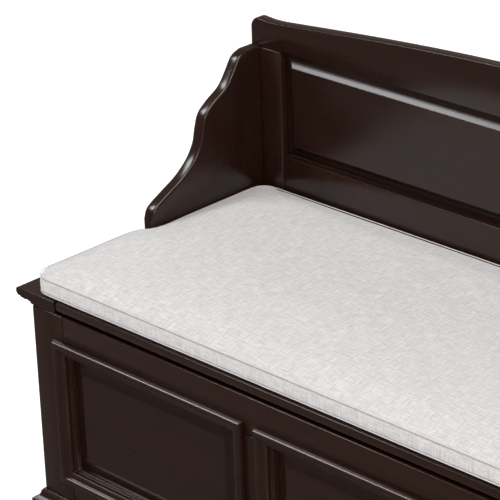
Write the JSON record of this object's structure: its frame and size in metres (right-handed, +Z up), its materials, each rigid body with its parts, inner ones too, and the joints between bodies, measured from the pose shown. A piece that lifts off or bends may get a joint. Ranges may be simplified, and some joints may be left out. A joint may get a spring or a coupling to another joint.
{
  "type": "storage bench",
  "caption": "Storage bench with a panelled chest, a hinged lid on folding stays, a fabric seat cushion, scrolled end wings and a low raised-panel back with a bowed crest.",
  "frame": {"origin": "on the floor, under the middle of the bench's whole outline", "axes": "+Z up, -Y towards the front, +X along the seat to the sitter's left"},
  "size_m": [1.2218, 0.452, 0.7167],
  "materials": {
    "espresso_wood": "dark espresso stain under satin lacquer",
    "inner_wood": "thin dark stain, matt",
    "cushion_fabric": "light grey linen-look weave",
    "hardware_steel": "dark plated",
    "bumper_rubber": "matt"
  },
  "bodies": {
    "root": {"front_post_left": "espresso_wood", "front_post_right": "espresso_wood", "rear_post_left": "espresso_wood", "rear_post_right": "espresso_wood", "front_top_rail": "espresso_wood", "front_bottom_rail": "espresso_wood", "front_mullion_left": "espresso_wood", "front_mullion_right": "espresso_wood", "front_left_panel": "espresso_wood", "front_center_panel": "espresso_wood", "front_right_panel": "espresso_wood", "front_left_moulding": "espresso_wood", "front_center_moulding": "espresso_wood", "front_right_moulding": "espresso_wood", "side_top_rail_left": "espresso_wood", "side_top_rail_right": "espresso_wood", "side_bottom_rail_left": "espresso_wood", "side_bottom_rail_right": "espresso_wood", "side_left_panel": "espresso_wood", "side_right_panel": "espresso_wood", "side_left_moulding": "espresso_wood", "side_right_moulding": "espresso_wood", "bottom_board": "inner_wood", "rear_board": "inner_wood", "rear_top_rail": "inner_wood", "plinth_front": "espresso_wood", "plinth_left": "espresso_wood", "plinth_right": "espresso_wood", "base_moulding_front": "espresso_wood", "base_moulding_left": "espresso_wood", "base_moulding_right": "espresso_wood", "ledge_left": "espresso_wood", "ledge_right": "espresso_wood", "hinge_strip": "espresso_wood", "wing_left": "espresso_wood", "wing_right": "espresso_wood", "back_stile_left": "espresso_wood", "back_stile_right": "espresso_wood", "back_lower_rail": "espresso_wood", "back_panel": "espresso_wood", "crest_rail": "espresso_wood", "lid_bumper_left": "bumper_rubber", "lid_bumper_right": "bumper_rubber", "seat_cushion_back_edge": "cushion_fabric", "hinge_leaf_fixed": "hardware_steel", "hinge_pin": "hardware_steel", "stay_bracket_left": "hardware_steel", "stay_bracket_right": "hardware_steel"},
    "lid": {"lid_board": "espresso_wood", "lid_batten_left": "inner_wood", "lid_batten_right": "inner_wood", "seat_cushion": "cushion_fabric", "hinge_leaf_moving": "hardware_steel", "stay_lid_bracket_left": "hardware_steel", "stay_lid_bracket_right": "hardware_steel"},
    "left_stay_lower": {"stay_lower_arm_left": "hardware_steel"},
    "left_stay_upper": {"stay_upper_arm_left": "hardware_steel"},
    "right_stay_lower": {"stay_lower_arm_right": "hardware_steel"},
    "right_stay_upper": {"stay_upper_arm_right": "hardware_steel"}
  },
  "joints": [
    {"name": "lid_hinge", "type": "hinge", "parent": "root", "child": "lid", "pos_m": [0, 0.1605, 0.4145], "axis": [-1, 0, 0], "range_deg": [0, 64], "deforming": ["seat_cushion_back_edge"]},
    {"name": "left_stay_box_pivot", "type": "hinge", "parent": "root", "child": "left_stay_lower", "pos_m": [-0.519, 0.0405, 0.3445], "axis": [-1, 0, 0], "range_deg": [0, 101]},
    {"name": "left_stay_knee", "type": "hinge", "parent": "left_stay_lower", "child": "left_stay_upper", "pos_m": [-0.519, -0.05804, 0.27257], "axis": [-1, 0, 0], "range_deg": [-89, 0]},
    {"name": "right_stay_box_pivot", "type": "hinge", "parent": "root", "child": "right_stay_lower", "pos_m": [0.519, 0.0405, 0.3445], "axis": [-1, 0, 0], "range_deg": [0, 101]},
    {"name": "right_stay_knee", "type": "hinge", "parent": "right_stay_lower", "child": "right_stay_upper", "pos_m": [0.519, -0.05804, 0.27257], "axis": [-1, 0, 0], "range_deg": [-89, 0]}
  ],
  "couplings": [
    {"joint": "left_stay_box_pivot", "follows": "lid_hinge", "ratio": 1.5746},
    {"joint": "left_stay_knee", "follows": "lid_hinge", "ratio": -1.3872},
    {"joint": "right_stay_box_pivot", "follows": "lid_hinge", "ratio": 1.5746},
    {"joint": "right_stay_knee", "follows": "lid_hinge", "ratio": -1.3872}
  ]
}
